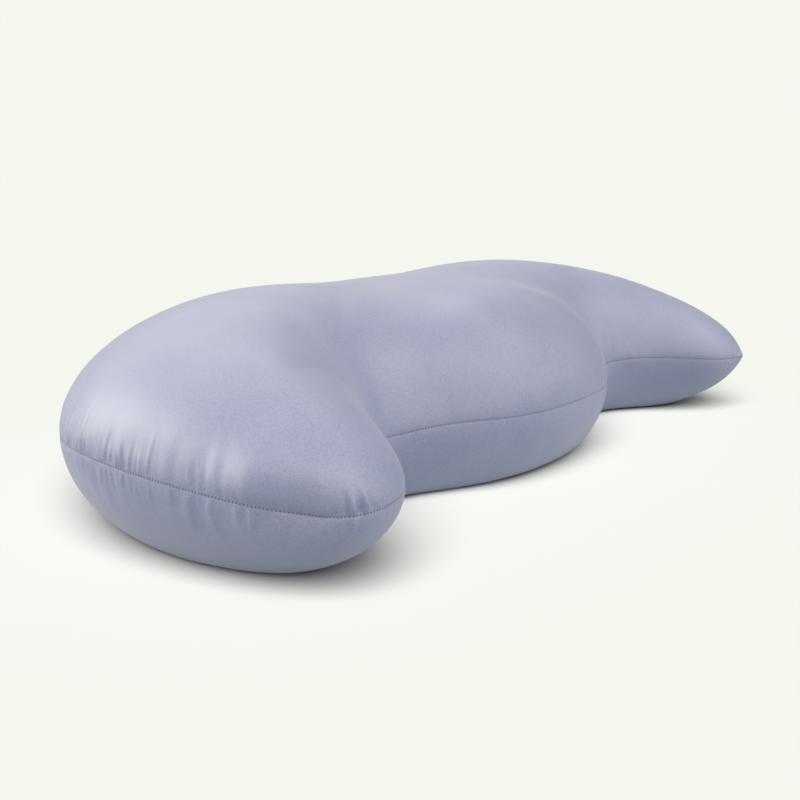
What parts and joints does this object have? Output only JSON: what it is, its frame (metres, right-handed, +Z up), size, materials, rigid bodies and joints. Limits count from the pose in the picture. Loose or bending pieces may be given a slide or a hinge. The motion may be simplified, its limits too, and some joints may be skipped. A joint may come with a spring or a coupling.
{
  "type": "contour support pillow",
  "caption": "Soft contour support pillow with two wings, a round middle lobe and a notch on each side of it, in plain satin with one seam round the edge.",
  "frame": {"origin": "centre of the footprint box, on the floor plane", "axes": "+X from wing to wing, +Y towards the long back edge, +Z up"},
  "size_m": [0.6532, 0.351, 0.1379],
  "materials": {
    "satin_cover": "soft satin weave, lavender grey"
  },
  "bodies": {
    "root": {"pillow": "satin_cover"}
  },
  "joints": []
}
